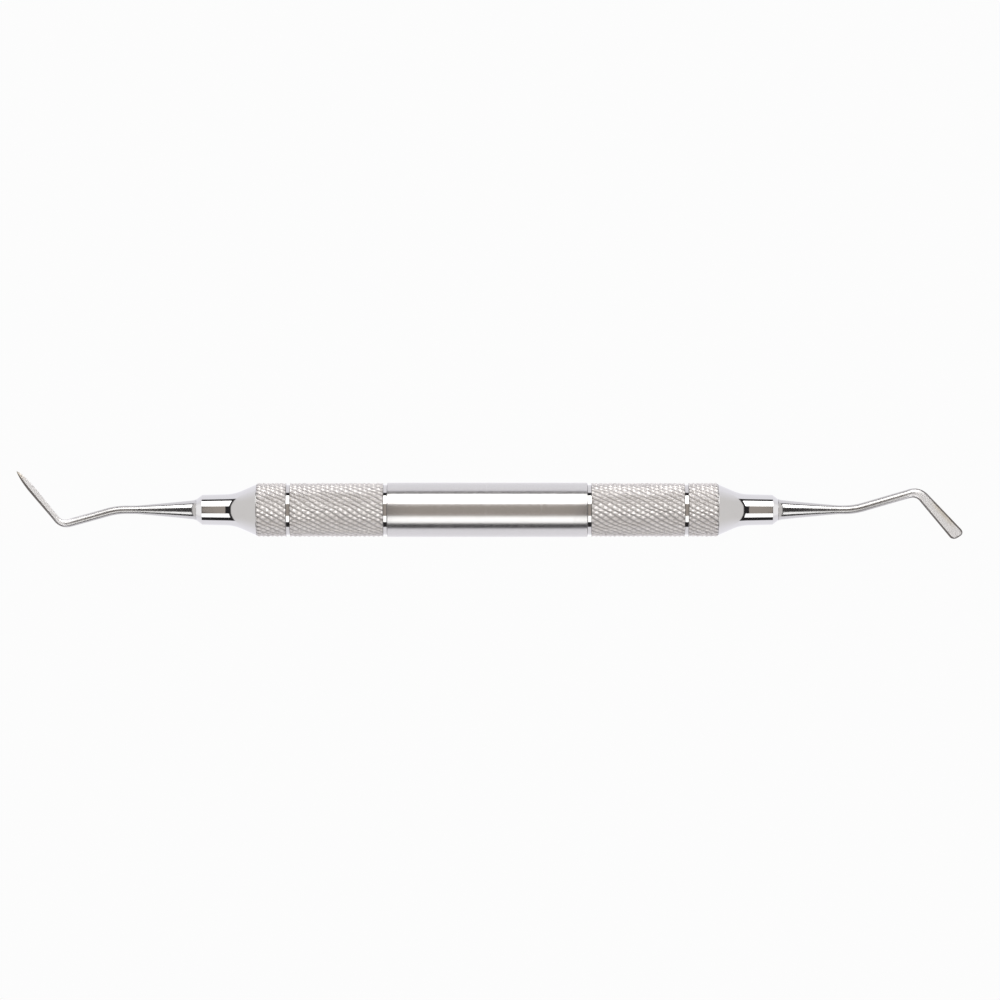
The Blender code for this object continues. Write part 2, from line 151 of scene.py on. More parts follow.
class NodeTree:
    """A node tree that is being made."""

    def __init__(self, owner: Any) -> None:
        """Empties the node tree of a material or a world, to start from."""
        owner.use_nodes = True
        self.tree = owner.node_tree
        self.tree.nodes.clear()

    def node(self, kind: str, settings: Parts = None, inputs: Parts = None) -> bpy.types.Node:
        """Adds a node.

        Args:
            kind: The node's type.
            settings: Its properties, which are set before its inputs.
            inputs: What goes into its inputs, by name or number: numbers, colours, sockets or values.

        Returns:
            The new node.
        """
        node = self.tree.nodes.new(kind)
        for name, setting in (settings or {}).items():
            setattr(node, name, setting)
        for key, given in (inputs or {}).items():
            source = given.socket if isinstance(given, Value) else given
            if isinstance(source, bpy.types.NodeSocket):
                self.tree.links.new(source, node.inputs[key])
            else:
                node.inputs[key].default_value = source
        return node

    def value(self, kind: str, output: Any, settings: Parts = None, inputs: Parts = None) -> Value:
        """One output of a new node, by name or number, as a value."""
        return Value(self, self.node(kind, settings, inputs).outputs[output])

    def mark(self, name: str) -> Value:
        """A number that the mesh carries on its points."""
        return self.value("ShaderNodeAttribute", "Fac", {"attribute_name": name})

    def place(self, stretch: Stretch = (1, 1, 1)) -> bpy.types.NodeSocket:
        """Object coordinates, multiplied by a factor for each axis."""
        coordinates = self.node("ShaderNodeTexCoord").outputs["Object"]
        return self.node("ShaderNodeMapping", None, {"Vector": coordinates, "Scale": stretch}).outputs[0]

    def noise(self, place: bpy.types.NodeSocket, scale: float = 1.0, detail: float = 2.0) -> Value:
        """Soft noise from 0 to 1, with this many cells to the unit of place."""
        inputs = {"Vector": place, "Scale": scale, "Detail": detail}
        return self.value("ShaderNodeTexNoise", 0, None, inputs)

    def mixed(self, share: Any, first: Any, second: Any, blend: str = "MIX") -> bpy.types.NodeSocket:
        """The first colour where share is 0, and where it is 1 the second or what it blends to.

        Args:
            share: How much the second colour counts, from 0 to 1.
            first: A colour, or a socket that gives one.
            second: A colour, or a socket that gives one.
            blend: The way in which the second colour is put on the first.

        Returns:
            The mixed colour.
        """
        settings = {"data_type": "RGBA", "blend_type": blend}
        inputs = {0: share, 6: self.colour(first), 7: self.colour(second)}
        return self.node("ShaderNodeMix", settings, inputs).outputs[2]

    def dot(self, vector: bpy.types.NodeSocket, other: Vector) -> Value:
        """The dot product of a vector that varies and a fixed one."""
        inputs = {0: vector, 1: other[:]}
        return self.value("ShaderNodeVectorMath", 1, {"operation": "DOT_PRODUCT"}, inputs)

    @staticmethod
    def colour(given: Any) -> Any:
        """A colour with its alpha, or the socket that was given."""
        return given if isinstance(given, bpy.types.NodeSocket) else (*given, 1.0)


# Finishes


@dataclass(frozen=True)
class Finish:
    """A finish of bare steel: its material's name, colour and roughness."""

    name: str
    colour: Colour
    roughness: float

    def material(self) -> bpy.types.Material:
        """Makes the finish a procedural material.

        Returns:
            The material.
        """
        material = bpy.data.materials.new(self.name)
        tree = NodeTree(material)
        colour, roughness, lift = self.surface(tree)
        bump = tree.node("ShaderNodeBump", None, {"Strength": 1.0, "Distance": 1.0, "Height": lift})
        inputs = {"Metallic": 1.0, "Base Color": colour, "Roughness": roughness, "Normal": bump.outputs[0]}
        shader = tree.node("ShaderNodeBsdfPrincipled", None, inputs)
        tree.node("ShaderNodeOutputMaterial", None, {"Surface": shader.outputs[0]})
        return material

    def surface(self, tree: NodeTree) -> tuple[bpy.types.NodeSocket, Value, Value]:
        """The surface's colour, its roughness and how far it is lifted."""
        raise NotImplementedError


@dataclass(frozen=True)
class KnurledFinish(Finish):
    """The tube: valleys darkened with painted shade, burnished crests, polished grooves and a satin centre.

    The mesh carries the marks crest (1 on a crest, 0 in a valley), tone (a random number for each diamond),
    knurled, polished and recess (1 on a groove's walls and where the knurl runs out, to take painted shade).
    """

    valley_shade_colour: Colour = (0.436, 0.416, 0.404)
    flank_colour: Colour = (0.727, 0.70, 0.68)
    crest_colour: Colour = (0.789, 0.76, 0.738)
    recess_shade_colour: Colour = (0.16, 0.155, 0.15)
    flanks: Span = (0.0, 0.6)
    crests: Span = (0.55, 0.95)
    shade_grain: float = 0.5
    tone_wear: float = 0.7
    valley_roughness: float = 0.46
    crest_roughness: float = 0.52
    polished_roughness: float = 0.07
    grain_roughness: float = 0.2
    ring_roughness: float = 0.12
    grain_scale: float = 5200.0
    grain_height: float = 0.000012
    ring_stretch: Stretch = (9000.0, 60.0, 60.0)
    ring_height: float = 0.0000012

    def surface(self, tree: NodeTree) -> tuple[bpy.types.NodeSocket, Value, Value]:
        """Colour and roughness follow the marks, and fine grain and turning rings lift the surface.

        Args:
            tree: The material's node tree.

        Returns:
            The colour, the roughness and the lift.
        """
        crest = tree.mark("crest")
        knurled = tree.mark("knurled")
        polished = tree.mark("polished")
        grain = tree.noise(tree.place(), self.grain_scale, 3.0)
        rings = tree.noise(tree.place(self.ring_stretch), detail=1.0)

        # Painted shade: the valleys are darker the deeper they lie, and grain breaks up the edge of that
        # shade.
        height = (crest + (grain - 0.5) * self.shade_grain).step(*self.flanks)
        valley_shaded = tree.mixed(height, self.valley_shade_colour, self.flank_colour)
        burnished = (crest + (tree.mark("tone") - 0.5) * self.tone_wear).step(*self.crests)
        knurl_colour = tree.mixed(burnished, valley_shaded, self.crest_colour)
        colour = tree.mixed(knurled, self.colour, knurl_colour)
        # Painted shade on the grooves' walls and where the knurl runs out.
        colour = tree.mixed(tree.mark("recess"), colour, self.recess_shade_colour)

        knurl_roughness = between(self.valley_roughness, self.crest_roughness, burnished)
        knurl_roughness = knurl_roughness + (grain - 0.5) * self.grain_roughness
        plain = self.roughness + (rings - 0.5) * self.ring_roughness
        plain = plain + (self.polished_roughness - self.roughness) * polished
        lift = grain * knurled * self.grain_height
        lift = lift + rings * (1 - knurled) * (1 - polished) * self.ring_height
        return colour, between(plain, knurl_roughness, knurled), lift


@dataclass(frozen=True)
class TurnedFinish(Finish):
    """The noses: polished on the lathe, with the faintest turning rings."""

    ring_stretch: Stretch = (16000.0, 120.0, 120.0)
    ring_height: float = 0.0000002
    haze_scale: float = 420.0
    haze_darkness: float = 0.96
    uneven_roughness: float = 0.03

    def surface(self, tree: NodeTree) -> tuple[bpy.types.NodeSocket, Value, Value]:
        """Rings stretched round the handle's axis vary the roughness and lift the surface a little.

        Args:
            tree: The material's node tree.

        Returns:
            The colour, the roughness and the lift.
        """
        rings = tree.noise(tree.place(self.ring_stretch))
        haze = tree.noise(tree.place(), self.haze_scale, 3.0)
        roughness = self.roughness + (rings - 0.5) * self.uneven_roughness
        roughness = roughness + (haze - 0.5) * self.uneven_roughness
        darker = tuple(self.haze_darkness * part for part in self.colour)
        return tree.mixed(haze, darker, self.colour), roughness, rings * self.ring_height


@dataclass(frozen=True)
class GroundFinish(Finish):
    """The working ends: polished shanks, duller legs, satin ground faces and bevels darkened with painted
    shade.

    The mesh carries the marks face and edge (1 on a blade's faces and bevels, edge for painted shade), tint
    (how much painted warm reflection the blade takes), along and across (millimetres along the middle line
    and to the side of it).
    """

    leg_colour: Colour = (0.46, 0.45, 0.44)
    leg_roughness: float = 0.29
    leg_span: Span = (2.0, 13.0)
    face_colour: Colour = (0.90, 0.89, 0.885)
    face_roughness: float = 0.52
    bevel_shade_colour: Colour = (0.16, 0.148, 0.14)
    edge_roughness: float = 0.3
    warm_reflection_colour: Colour = (0.80, 0.74, 0.63)
    lines_across: float = 26.0
    lines_along: float = 0.9
    line_roughness: float = 0.12
    line_height: float = 0.00000025
    grain_scale: float = 6500.0
    grain_roughness: float = 0.03
    grain_share: float = 0.4

    def surface(self, tree: NodeTree) -> tuple[bpy.types.NodeSocket, Value, Value]:
        """Grinding lines run along the blade: noise that changes fast across it and slowly along it.

        Args:
            tree: The material's node tree.

        Returns:
            The colour, the roughness and the lift.
        """
        face = tree.mark("face")
        edge = tree.mark("edge")
        along = tree.mark("along")
        lay = {0: tree.mark("across") * self.lines_across, 1: along * self.lines_along}
        lines = tree.noise(tree.node("ShaderNodeCombineXYZ", None, lay).outputs[0])
        grain = tree.noise(tree.place(), self.grain_scale)

        leg = along.step(*self.leg_span)
        colour = tree.mixed(leg, self.colour, self.leg_colour)
        colour = tree.mixed(face, colour, self.face_colour)
        # Painted shade: the bevels take a dark colour.
        colour = tree.mixed(edge, colour, self.bevel_shade_colour)
        # Painted warm reflection, multiplied on where the tint mark is.
        colour = tree.mixed(tree.mark("tint"), colour, self.warm_reflection_colour, "MULTIPLY")
        roughness = between(between(self.roughness, self.leg_roughness, leg), self.face_roughness, face)
        roughness = roughness + (self.edge_roughness - self.face_roughness) * edge
        roughness = roughness + (lines - 0.5) * self.line_roughness * face
        roughness = roughness + (grain - 0.5) * self.grain_roughness
        return colour, roughness, (lines + grain * self.grain_share) * face * self.line_height


# Surfaces


def add_object(name: str, data: Any) -> bpy.types.Object:
    """Puts a new object in the scene.

    Args:
        name: The object's name.
        data: Its mesh, light or camera.

    Returns:
        The object.
    """
    added = bpy.data.objects.new(name, data)
    bpy.context.scene.collection.objects.link(added)
    return added


@dataclass
class Skin:
    """A closed surface: its points, its triangles and the marks on its points."""

    points: np.ndarray
    triangles: np.ndarray
    marks: dict[str, np.ndarray] = field(default_factory=dict)

    def piece(self, name: str, finish: Finish, slot: Slot, node: str) -> None:
        """Makes the surface an object of the scene that stands for a node of the frame.

        Args:
            name: The object's name.
            finish: What its surface is like.
            slot: The record's finish that it takes after. It is not used.
            node: The node that it replaces.
        """
        corners = self.triangles.astype(np.int32).ravel()
        mesh = bpy.data.meshes.new(name)
        mesh.vertices.add(len(self.points))
        mesh.vertices.foreach_set("co", self.points.astype(np.float32).ravel())
        mesh.loops.add(len(corners))
        mesh.loops.foreach_set("vertex_index", corners)
        mesh.polygons.add(len(self.triangles))
        mesh.polygons.foreach_set("loop_start", np.arange(0, len(corners), 3, dtype=np.int32))
        mesh.update(calc_edges=True)
        mesh.validate()
        for mark, numbers in self.marks.items():
            attribute = mesh.attributes.new(mark, "FLOAT", "POINT")
            attribute.data.foreach_set("value", numbers.astype(np.float32).ravel())
        mesh.shade_smooth()
        mesh.set_sharp_from_angle(angle=SHARP_ANGLE)
        mesh.materials.append(finish.material())
        piece = add_object(name, mesh)
        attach(piece, "root")
        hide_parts(node)
        log.info("%s: %d triangles, for %s", name, len(self.triangles), node)


def stacked(*parts: Any) -> np.ndarray:
    """Arrays and numbers, spread to one shape and stacked along a new last axis."""
    return np.stack(np.broadcast_arrays(*parts), axis=-1)


def split_cells(cells: np.ndarray, other_way: np.ndarray) -> np.ndarray:
    """Two triangles for each cell of a grid.

    Args:
        cells: The four corners of each cell: near, near beside, far beside and far.
        other_way: Whether a cell is split from near beside to far, and not from near to far beside.

    Returns:
        The corners of the triangles, which turn the same way as the cells.
    """
    near, near_beside, far_beside, far = cells.T
    one = stacked(near, near_beside, np.where(other_way, far, far_beside))
    two = stacked(np.where(other_way, near_beside, near), far_beside, far)
    return np.concatenate([one, two])


def grid_cells(rows: int, columns: int, closed: bool) -> np.ndarray:
    """The cells of a grid whose rows are closed rings.

    Args:
        rows: The number of rings.
        columns: The number of points in a ring.
        closed: Whether the last ring joins the first.

    Returns:
        The numbers of the four corners of each cell.
    """
    row = np.arange(rows if closed else rows - 1)[:, None] * columns
    following = (row + columns) % (rows * columns)
    column = np.arange(columns)[None, :]
    beside = (column + 1) % columns
    return stacked(row + column, row + beside, following + beside, following + column).reshape(-1, 4)


def capped_skin(rings: np.ndarray, first_pole: np.ndarray, last_pole: np.ndarray) -> Skin:
    """A closed skin over rings, with a fan of triangles to a pole at each end.

    Args:
        rings: Points by ring, column and axis.
        first_pole: The point that closes the first ring.
        last_pole: The point that closes the last ring.

    Returns:
        The skin, whose last two points are the poles.
    """
    rows, columns = rings.shape[:2]
    cells = grid_cells(rows, columns, closed=False)
    sides = split_cells(cells, np.zeros(len(cells), dtype=bool))
    column = np.arange(columns)
    beside = (column + 1) % columns
    last_row = (rows - 1) * columns
    start_fan = stacked(rows * columns, beside, column)
    end_fan = stacked(rows * columns + 1, last_row + column, last_row + beside)
    points = np.concatenate([rings.reshape(-1, 3), [first_pole, last_pole]])
    return Skin(points, np.concatenate([sides, start_fan, end_fan]))


def eased(share: np.ndarray) -> np.ndarray:
    """0 below 0 and 1 above 1, and between them 3 times the square less 2 times the cube."""
    share = np.clip(share, 0.0, 1.0)
    return share * share * (3 - 2 * share)


def guarded(profile: np.ndarray, reach: float, long_side: float = 4.0) -> np.ndarray:
    """A profile with a point more beside each end of its long sides.

    The new points are a fixed distance from the side's ends. They keep the shading of its corners from
    running out over the side.

    Args:
        profile: The profile's points.
        reach: The distance of the new points from a side's ends.
        long_side: How many times the reach a side has to be longer than to get them.

    Returns:
        The profile with its new points.
    """
    start, end = profile[:-1], profile[1:]
    length = np.linalg.norm(end - start, axis=1, keepdims=True)
    share = reach / np.maximum(length, reach)
    points = np.stack([start, start + (end - start) * share, end - (end - start) * share], axis=1)
    added = share < 1 / long_side
    kept = np.concatenate([np.ones_like(added), added, added], axis=1)
    return np.concatenate([points[kept], profile[-1:]])


def rounded_corner(
    corner: np.ndarray, before: np.ndarray, after: np.ndarray, radius: float, steps: int
) -> np.ndarray:
    """Points of the arc that rounds a corner of a profile.

    The arc touches both sides at the radius over the tangent of half their angle from the corner. Its centre
    is on the line that halves the angle, and its points are weighted sums of its two end spokes.

    Args:
        corner: The sharp corner.
        before: The profile's point before it.
        after: The profile's point after it.
        radius: The arc's radius.
        steps: The number of chords.

    Returns:
        The arc's points, one more than steps.
    """
    back = (before - corner) / np.linalg.norm(before - corner)
    ahead = (after - corner) / np.linalg.norm(after - corner)
    half = math.acos(float(np.clip(back @ ahead, -1, 1))) / 2
    middle = (back + ahead) / np.linalg.norm(back + ahead)
    centre = corner + middle * radius / math.sin(half)
    start = corner + back * radius / math.tan(half) - centre
    end = corner + ahead * radius / math.tan(half) - centre
    sweep = math.pi - 2 * half
    share = np.linspace(0, 1, steps + 1)[:, None]
    return centre + (start * np.sin((1 - share) * sweep) + end * np.sin(share * sweep)) / math.sin(sweep)


# The handle's tube


@dataclass
class Knurl:
    """Two sets of V grooves that lean both ways from the handle's axis and leave diamonds between them."""

    starts: int = 32
    angle: float = math.radians(30)
    depth: float = 0.0003
    weaker_share: float = 0.72
    weaker_shade: float = 0.75
    worn_depth: float = 0.000016
    uneven_depth: float = 0.00006
    stray: float = 0.22
    stray_turns: tuple[int, ...] = (3, 7, -5, 12, -16)
    stray_slants: Span = (0.1, 0.6)
    steps: int = 4
    tone_rows: int = 257
    seed: int = 7

    @property
    def halves(self) -> int:
        """The number of half pitches round the bar."""
        return 2 * self.starts

    def depths(self, around: np.ndarray, along: np.ndarray) -> tuple[np.ndarray, np.ndarray, np.ndarray]:
        """How deep the knurl is below the bar, with crests at even sums of around and along.

        Each set's depth falls evenly from its groove's floor, at odd sums (or differences), to nothing at
        even ones. The deeper set counts, and one set is weaker, in depth and in the height that the finish
        follows for its painted valley shade. Wear takes the highest crests down, and each diamond is lowered
        by a random share, which fades out at its grooves.

        Args:
            around: The place round the bar, in half pitches.
            along: The place along the bar, in half pitches.

        Returns:
            The depth, the height of the diamonds from 0 to 1, and a random number for each diamond.
        """
        total = around + along
        difference = around - along
        one_set = np.abs(np.mod(total, 2) - 1)
        other_set = np.abs(np.mod(difference, 2) - 1)
        cut = np.maximum(self.weaker_share * (1 - one_set), 1 - other_set)
        height = np.minimum(1 - self.weaker_shade * (1 - one_set), other_set)

        first = np.floor((total + 1) / 2).astype(int)
        second = np.floor((difference + 1) / 2).astype(int)
        table = np.random.default_rng(self.seed).random((self.tone_rows, self.halves))
        tone = table[np.mod(first - second, self.tone_rows), np.mod(first + second, self.halves)]
        depth = np.maximum(self.depth * cut + self.uneven_depth * tone * height, self.worn_depth)
        return depth, height, tone

    def strays(self, around: np.ndarray, along: np.ndarray) -> np.ndarray:
        """How far the knurl strays round the bar from its even lattice.

        It is a mean of slow waves, each with whole turns round the bar and a slant and a start of its own.

        Args:
            around: The place round the bar, in half pitches.
            along: The place along the bar, in half pitches.

        Returns:
            The distances round the bar, in half pitches.
        """
        count = len(self.stray_turns)
        least, most = self.stray_slants
        draws = np.random.default_rng(self.seed).uniform((least, 0), (most, FULL_TURN), (count, 2))
        slants, starts = draws.T
        place = FULL_TURN * around / self.halves
        waves = np.sin(place[..., None] * np.array(self.stray_turns) + along[..., None] * slants + starts)
        return self.stray * waves.sum(axis=-1) / math.sqrt(count)


@dataclass
class Tube:
    """The handle's tube: two knurled bands and two grooves at each end, a bare centre and a bore.

    Its rows are distances from the end of the tube, or X, with the radius, the lattice number and the marks
    knurled, polished and recess, the last for painted shade. The leads are the lattice numbers that the
    bands start from.
    """

    diameter: float = 0.0095
    length: float = 0.0808
    wall: float = 0.00125
    bevel_length: float = 0.0004
    bevel_depth: float = 0.00024
    outer_band: float = 0.0051
    inner_band: float = 0.0162
    groove_width: float = 0.0008
    groove_depth: float = 0.00036
    groove_wall_run: float = 0.00008
    lip: float = 0.00003
    outer_lead: int = 100
    inner_lead: int = 201
    centre_rows: int = 8
    recess_power: int = 5
    knurl: Knurl = field(default_factory=Knurl)

    @property
    def radius(self) -> float:
        """The bar's radius."""
        return self.diameter / 2

    @property
    def bore_radius(self) -> float:
        """The bore's radius."""
        return self.radius - self.wall

    def half_pitches(self, length: float) -> int:
        """The number of the knurl's half pitches along the bar that fit this length best."""
        return round(length / (math.pi * self.radius / self.knurl.starts / math.tan(self.knurl.angle)))

    def band_rows(self, start: float, end: float, side: int, lead: int) -> np.ndarray:
        """Rows of a knurled band. The lattice is fitted to the band's length.

        Args:
            start: The band's outer edge, from the end of the tube.
            end: Its inner edge.
            side: 1 for the end at +X, -1 for the other.
            lead: The lattice number of its first row.

        Returns:
            The rows.
        """
        count = self.half_pitches(end - start)
        lattice = np.linspace(0, count, count * self.knurl.steps + 1)
        distance = start + (end - start) * lattice / count
        return stacked(distance, self.radius, lead - side * lattice, 1, 0, 0)

    def end_rows(self, side: int, lead: int) -> np.ndarray:
        """The bevel at the end of the tube, over which the outer band's grooves run out.

        Args:
            side: 1 for the end at +X, -1 for the other.
            lead: The lattice number at the bevel's inner edge.

        Returns:
            The rows.
        """
        band = self.outer_band - self.bevel_length
        spacing = band / self.half_pitches(band)
        distance = np.array([0.0, 0.5, 0.999]) * self.bevel_length
        radius = self.radius - self.bevel_depth * (1 - distance / self.bevel_length)
        lattice = lead + side * (self.bevel_length - distance) / spacing
        # The bevel's rows carry painted shade where the grooves run out.
        return stacked(distance, radius, lattice, 1, 0, 1)

    def groove_rows(self, start: float, end: float) -> np.ndarray:
        """The walls and the floor of a groove, whose corners are eased by two rows each.

        Args:
            start: The groove's outer edge, from the end of the tube.
            end: Its inner edge.

        Returns:
            The rows.
        """
        lip, run, floor = self.lip, self.groove_wall_run, self.radius - self.groove_depth
        distance = np.array([start, start + lip, start + run - lip / 2, start + run + lip,
                             end - run - lip, end - run + lip / 2, end - lip, end])
        radius = np.array([self.radius - lip / 2, self.radius - 2 * lip, floor + lip, floor,
                           floor, floor + lip, self.radius - 2 * lip, self.radius - lip / 2])
        polished = np.array([0, 0, 1, 1, 1, 1, 0, 0])
        # The walls carry painted shade.
        recess = np.array([0, 1, 1, 0, 0, 1, 1, 0])
        return stacked(distance, radius, 0, 0, polished, recess)

    def side_rows(self, side: int) -> np.ndarray:
        """Rows from one end of the tube to its bare centre.

        Args:
            side: 1 for the end at +X, -1 for the other.

        Returns:
            The rows, with X as their first number.
        """
        groove = self.outer_band
        inner_start = groove + self.groove_width
        inner_end = inner_start + self.inner_band
        shift = (1 + side) // 2
        rows = np.concatenate([
            self.end_rows(side, self.outer_lead + shift),
            self.band_rows(self.bevel_length, groove, side, self.outer_lead + shift),
            self.groove_rows(groove + self.lip / 4, inner_start - self.lip / 4),
            self.band_rows(inner_start, inner_end, side, self.inner_lead - shift),
            self.groove_rows(inner_end + self.lip / 4, inner_end + self.groove_width),
        ])
        rows[:, 0] = side * (self.length / 2 - rows[:, 0])
        return rows

    def rows(self) -> np.ndarray:
        """All the rows of the tube's closed section, out along the bar and back along the bore.

        Returns:
            The rows, with X as their first number.
        """
        right = self.side_rows(1)[::-1]
        reach = right[0, 0] - self.groove_wall_run
        centre = stacked(np.linspace(-reach, reach, self.centre_rows), self.radius, 0, 0, 0, 0)
        bore_x = self.length / 2 * np.array([1, 1 / 3, -1 / 3, -1])
        bore = stacked(bore_x, self.bore_radius, 0, 0, 0, 0)
        return np.concatenate([self.side_rows(-1), centre, right, bore])

    def skin(self) -> Skin:
        """The tube as a grid of rows along X and columns round it.

        A point's distance from the axis is the bar's radius less the knurl's depth, but no more than the
        turned radius of its row. A cell that a groove of the first set crosses is split along that groove.

        Returns:
            The tube's skin, with its marks.
        """
        columns = self.knurl.halves * self.knurl.steps
        x, turned, lattice, knurled, polished, recess = (part[:, None] for part in self.rows().T)
        around = np.arange(columns)[None, :] / self.knurl.steps
        depth, height, tone = self.knurl.depths(around, lattice)
        radius = np.where(knurled > 0, np.minimum(self.radius - depth, turned), turned)
        strayed = around + self.knurl.strays(around, lattice) * knurled
        angle = FULL_TURN * strayed / self.knurl.halves - math.pi / 2
        points = stacked(x, radius * np.cos(angle), self.radius + radius * np.sin(angle))

        middle = around + 0.5 / self.knurl.steps + (lattice + np.roll(lattice, -1, axis=0)) / 2
        crossed = np.abs(np.mod(middle, 2) - 1) < 0.5 / self.knurl.steps
        triangles = split_cells(grid_cells(len(x), columns, closed=True), crossed.ravel())
        # Painted shade: the groove walls, and the valleys where the knurl runs out.
        run_out_shade = recess * np.where(knurled > 0, (1 - height) ** self.recess_power, 1.0)
        marks = {"crest": height * knurled, "tone": tone * knurled, "knurled": knurled, "polished": polished,
                 "recess": run_out_shade}
        marks = {name: np.broadcast_to(grid, radius.shape) for name, grid in marks.items()}
        return Skin(points.reshape(-1, 3), triangles, marks)


# The turned noses


@dataclass
class Nose:
    """A turned nose: spigot, flare, slim cylinder, chamfered front and a drilled hole for the tang."""

    length: float = 0.0106
    face_diameter: float = 0.00372
    chamfer_length: float = 0.001
    front_diameter: float = 0.00526
    back_diameter: float = 0.00554
    flare_angle: float = math.radians(23.6)
    fillet_radius: float = 0.0075
    fillet_steps: int = 22
    edge_radius: float = 0.00006
    edge_steps: int = 4
    spigot_length: float = 0.006
    spigot_lead: float = 0.0004
    hole_diameter: float = 0.00306
    hole_depth: float = 0.0085
    drill_point_angle: float = math.radians(118)
    columns: int = 128

    def profile(self, tube: Tube) -> np.ndarray:
        """Half the nose's section: points of X from the tube's end and of radius.

        Small arcs round the corners that show, and the flare meets the cylinder in a wide one.

        Args:
            tube: The tube that the nose is pressed into.

        Returns:
            The profile's points.
        """
        shoulder = tube.radius - tube.bevel_depth
        spigot = tube.bore_radius - SEAT_GAP
        back = self.back_diameter / 2
        hole = self.hole_diameter / 2
        seat = np.array([SEAT_GAP, spigot])
        flare_end = np.array([SEAT_GAP, shoulder])
        flare_foot = np.array([SEAT_GAP + (shoulder - back) / math.tan(self.flare_angle), back])
        front_edge = np.array([self.length - self.chamfer_length, self.front_diameter / 2])
        face_edge = np.array([self.length, self.face_diameter / 2])
        hole_edge = np.array([self.length, hole])
        hole_floor = np.array([self.length - self.hole_depth, hole])

        def edge(corner: np.ndarray, before: np.ndarray, after: np.ndarray) -> np.ndarray:
            """A small arc at a corner that shows."""
            return rounded_corner(corner, before, after, self.edge_radius, self.edge_steps)

        sharp = np.concatenate([
            [(-self.spigot_length, spigot - self.spigot_lead)],
            [(-self.spigot_length + self.spigot_lead, spigot)],
            [seat],
            edge(flare_end, seat, flare_foot),
            rounded_corner(flare_foot, flare_end, front_edge, self.fillet_radius, self.fillet_steps),
            edge(front_edge, flare_foot, face_edge),
            edge(face_edge, front_edge, hole_edge),
            edge(hole_edge, face_edge, hole_floor),
            [hole_floor],
        ])
        return guarded(sharp, self.edge_radius)

    def skin(self, tube: Tube) -> Skin:
        """The profile turned round X: Y is the radius times the cosine, Z the radius times the sine.

        Args:
            tube: The tube that the nose is pressed into.

        Returns:
            The nose's skin, along X from the tube's end.
        """
        x, radius = (part[:, None] for part in self.profile(tube).T)
        angle = FULL_TURN * np.arange(self.columns)[None, :] / self.columns
        rings = stacked(x, radius * np.cos(angle), radius * np.sin(angle))
        drill_point = rings[-1, 0, 0] - self.hole_diameter / 2 / math.tan(self.drill_point_angle / 2)
        first_pole = np.array([-self.spigot_length, 0, 0])
        return capped_skin(rings, first_pole, np.array([drill_point, 0, 0]))


# The working ends


